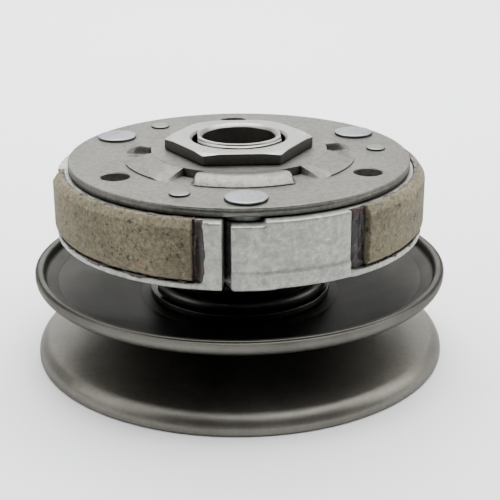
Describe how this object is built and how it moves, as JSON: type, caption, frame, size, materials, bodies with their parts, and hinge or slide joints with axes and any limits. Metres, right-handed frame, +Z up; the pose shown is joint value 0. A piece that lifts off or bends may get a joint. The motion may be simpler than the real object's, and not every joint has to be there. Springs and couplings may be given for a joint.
{
  "type": "driven pulley with centrifugal clutch",
  "caption": "Belt pulley of two conical steel sheaves on a common hub, the upper one sprung and cam guided, topped by a round plate that carries pivoting, lined centrifugal clutch shoes.",
  "frame": {"origin": "centre of the circle on which the lower rim rests", "axes": "+Z up along the shaft axis, from the fixed sheave towards the clutch nut; -Y through the first shoe's pivot pin"},
  "size_m": [0.1264, 0.1264, 0.0682],
  "materials": {
    "sheave_steel": "turned, oiled, dark satin",
    "hub_steel": "ground steel",
    "plate_steel": "pressed steel, fine matt grain",
    "nut_steel": "machined steel, matt",
    "zinc_pins": "zinc plated, cool grey",
    "bright_pins": "bright steel",
    "bearing_steel": "ground bearing steel",
    "cage_brass": "stamped brass",
    "seal_rubber": "matt rubber",
    "clip_steel": "phosphated spring steel",
    "collar_steel": "dark pressed steel",
    "spring_steel": "black oxide wire",
    "seat_nylon": "moulded nylon",
    "cast_aluminium": "as-cast, lightly mottled",
    "friction_lining": "pressed friction material, speckled",
    "adhesive": "cured adhesive",
    "clutch_spring_steel": "drawn wire, yellow passivated"
  },
  "bodies": {
    "core": {"fixed_sheave": "sheave_steel", "fixed_hub": "hub_steel", "needle_shell": "bearing_steel", "bearing_outer_ring": "bearing_steel", "bearing_seals": "seal_rubber", "bearing_circlip": "clip_steel", "guide_pins": "bright_pins", "upper_spring_seat": "seat_nylon", "drive_plate": "plate_steel", "pivot_pins": "zinc_pins", "damper_pins": "bright_pins", "damper_rubbers": "seal_rubber", "pivot_washers": "clip_steel", "pivot_clips": "clip_steel", "clutch_nut": "nut_steel", "main_spring": "spring_steel", "clutch_spring_1": "clutch_spring_steel", "clutch_spring_2": "clutch_spring_steel", "clutch_spring_3": "clutch_spring_steel"},
    "collar_slider": {"spring_collar": "collar_steel"},
    "movable_face": {"movable_sheave": "sheave_steel", "movable_hub": "hub_steel", "oil_seals": "seal_rubber", "hub_o_rings": "seal_rubber"},
    "roller_1": {"guide_roller_1": "bright_pins"},
    "roller_2": {"guide_roller_2": "bright_pins"},
    "roller_3": {"guide_roller_3": "bright_pins"},
    "shoe_arm_1": {"shoe_1": "cast_aluminium", "lining_1": "friction_lining", "bond_1": "adhesive"},
    "shoe_arm_2": {"shoe_2": "cast_aluminium", "lining_2": "friction_lining", "bond_2": "adhesive"},
    "shoe_arm_3": {"shoe_3": "cast_aluminium", "lining_3": "friction_lining", "bond_3": "adhesive"},
    "inner_race": {"bearing_inner_ring": "bearing_steel"},
    "ball_set": {"bearing_balls": "bearing_steel", "bearing_cage": "cage_brass"},
    "needle_set": {"needle_rollers": "bearing_steel", "needle_cage": "cage_brass"}
  },
  "joints": [
    {"name": "sheave_lift", "type": "slide", "parent": "core", "child": "collar_slider", "axis": [0, 0, 1], "range_m": [0, 0.01], "stiffness_N_per_m": 8000, "springref_m": -0.005, "deforming": ["main_spring"]},
    {"name": "sheave_cam_turn", "type": "hinge", "parent": "collar_slider", "child": "movable_face", "pos_m": [0, 0, 0.03], "axis": [0, 0, 1], "range_deg": [0, 29.5]},
    {"name": "guide_roller_1_roll", "type": "hinge", "parent": "core", "child": "roller_1", "pos_m": [0.01925, 0, 0.0364], "axis": [1, 0, 0], "range_deg": [0, 203]},
    {"name": "guide_roller_2_roll", "type": "hinge", "parent": "core", "child": "roller_2", "pos_m": [-0.00962, 0.01667, 0.0364], "axis": [-0.5, 0.866, 0], "range_deg": [0, 203]},
    {"name": "guide_roller_3_roll", "type": "hinge", "parent": "core", "child": "roller_3", "pos_m": [-0.00962, -0.01667, 0.0364], "axis": [-0.5, -0.866, 0], "range_deg": [0, 203]},
    {"name": "shoe_1_swing", "type": "hinge", "parent": "core", "child": "shoe_arm_1", "pos_m": [0, -0.0436, 0.049], "axis": [0, 0, -1], "range_deg": [0, 3], "stiffness_Nm_per_rad": 4, "springref_deg": -2.86, "deforming": ["clutch_spring_1"]},
    {"name": "shoe_2_swing", "type": "hinge", "parent": "core", "child": "shoe_arm_2", "pos_m": [0.03776, 0.0218, 0.049], "axis": [0, 0, -1], "range_deg": [0, 3], "stiffness_Nm_per_rad": 4, "springref_deg": -2.86, "deforming": ["clutch_spring_2"]},
    {"name": "shoe_3_swing", "type": "hinge", "parent": "core", "child": "shoe_arm_3", "pos_m": [-0.03776, 0.0218, 0.049], "axis": [0, 0, -1], "range_deg": [0, 3], "stiffness_Nm_per_rad": 4, "springref_deg": -2.86, "deforming": ["clutch_spring_3"]},
    {"name": "shaft_spin", "type": "hinge", "parent": "core", "child": "inner_race", "pos_m": [0, 0, 0.0551], "axis": [0, 0, 1], "continuous": true},
    {"name": "ball_set_spin", "type": "hinge", "parent": "core", "child": "ball_set", "pos_m": [0, 0, 0.0551], "axis": [0, 0, 1], "continuous": true},
    {"name": "needle_set_spin", "type": "hinge", "parent": "core", "child": "needle_set", "pos_m": [0, 0, 0.0096], "axis": [0, 0, 1], "continuous": true}
  ],
  "couplings": [
    {"joint": "sheave_cam_turn", "follows": "sheave_lift", "rad_per_m": 51.282},
    {"joint": "guide_roller_1_roll", "follows": "sheave_lift", "rad_per_m": 351.3},
    {"joint": "guide_roller_2_roll", "follows": "sheave_lift", "rad_per_m": 351.3},
    {"joint": "guide_roller_3_roll", "follows": "sheave_lift", "rad_per_m": 351.3},
    {"joint": "ball_set_spin", "follows": "shaft_spin", "ratio": 0.4111}
  ]
}
